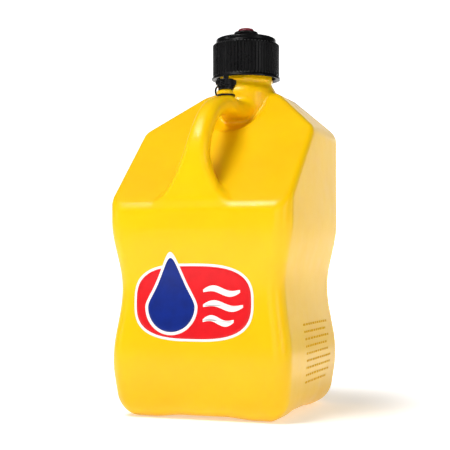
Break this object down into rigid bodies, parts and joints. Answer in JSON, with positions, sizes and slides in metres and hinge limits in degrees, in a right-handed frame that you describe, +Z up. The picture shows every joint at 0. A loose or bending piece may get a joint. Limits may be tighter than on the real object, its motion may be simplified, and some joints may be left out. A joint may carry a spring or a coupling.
{
  "type": "fuel jug",
  "caption": "Square blow-moulded fuel jug with a pinched waist, a front carrying handle, a ribbed screw cap with a hose port plug, and a small tethered vent cap.",
  "frame": {"origin": "on the floor, under the middle of the body's outline", "axes": "+Z up, front with the decal towards -Y, filler neck towards +Y, finger gap through the handle along X"},
  "size_m": [0.25, 0.272, 0.5468],
  "materials": {
    "jug_polyethylene": "satin blow-moulded",
    "cap_polypropylene": "fine moulded satin",
    "seal_rubber": "matte",
    "plug_plastic": "moulded gloss",
    "decal_vinyl": "printed gloss film"
  },
  "bodies": {
    "root": {"tank_body": "jug_polyethylene", "vent_tether": "cap_polypropylene", "front_decal": "decal_vinyl"},
    "cap_carrier": {"cap_gasket": "seal_rubber"},
    "filler_cap": {"filler_cap": "cap_polypropylene", "hose_bushing": "cap_polypropylene", "bushing_washer": "seal_rubber", "bushing_nut": "cap_polypropylene"},
    "port_plug": {"port_plug": "plug_plastic"},
    "vent_carrier": {"vent_gasket": "seal_rubber"},
    "vent_cap": {"vent_cap": "cap_polypropylene"}
  },
  "joints": [
    {"name": "cap_lift", "type": "slide", "parent": "root", "child": "cap_carrier", "axis": [0, 0, 1], "range_m": [0, 0.064]},
    {"name": "cap_turn", "type": "hinge", "parent": "cap_carrier", "child": "filler_cap", "pos_m": [0, 0.0732, 0.5], "axis": [0, 0, 1], "range_deg": [0, 2880]},
    {"name": "plug_pull", "type": "slide", "parent": "filler_cap", "child": "port_plug", "axis": [0, 0, 1], "range_m": [0, 0.03]},
    {"name": "vent_lift", "type": "slide", "parent": "root", "child": "vent_carrier", "axis": [0, 0, 1], "range_m": [0, 0.006]},
    {"name": "vent_turn", "type": "hinge", "parent": "vent_carrier", "child": "vent_cap", "pos_m": [0, -0.0153, 0.45], "axis": [0, 0, 1], "range_deg": [0, 720]}
  ],
  "couplings": [
    {"joint": "cap_lift", "follows": "cap_turn", "m_per_rad": 0.0012732},
    {"joint": "vent_lift", "follows": "vent_turn", "m_per_rad": 0.00047746}
  ]
}
